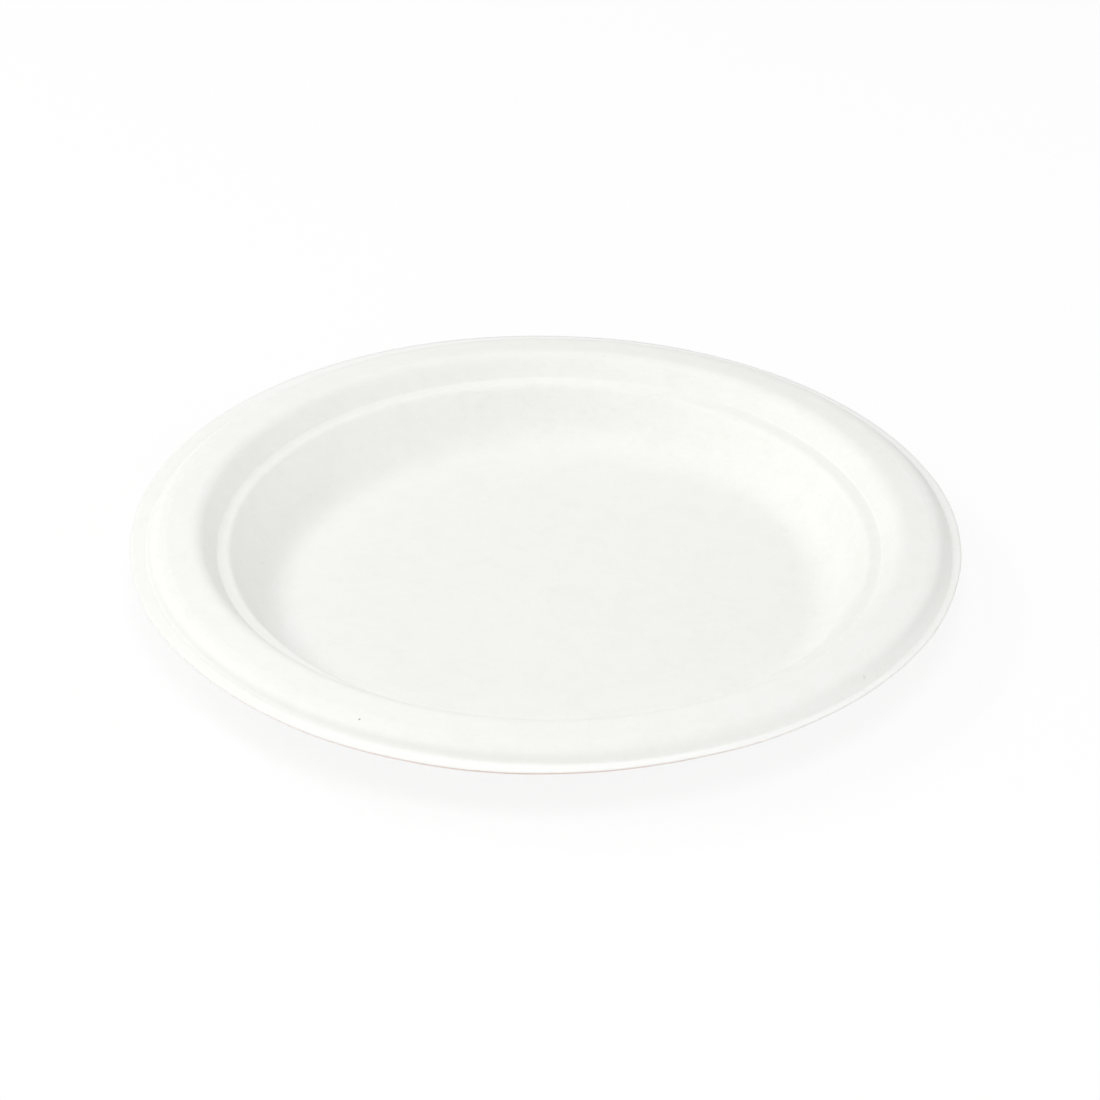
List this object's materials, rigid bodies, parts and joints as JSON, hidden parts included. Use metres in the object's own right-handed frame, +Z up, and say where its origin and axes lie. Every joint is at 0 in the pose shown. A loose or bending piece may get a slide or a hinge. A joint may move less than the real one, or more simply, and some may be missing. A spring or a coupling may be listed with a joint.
{
  "type": "paper plate",
  "caption": "Round plate of moulded white pulp: a flat well, a sloping wall, a narrow stacking ledge, a raised rounded rim and a flat trimmed lip.",
  "frame": {"origin": "centre of the flat underside, on the surface that the plate stands on", "axes": "+Z up along the plate's axis, out of the well; +X to the right and +Y away in the view of the picture"},
  "size_m": [0.23, 0.23, 0.0213],
  "materials": {
    "pulp": "matte"
  },
  "bodies": {
    "root": {"plate": "pulp"}
  },
  "joints": []
}
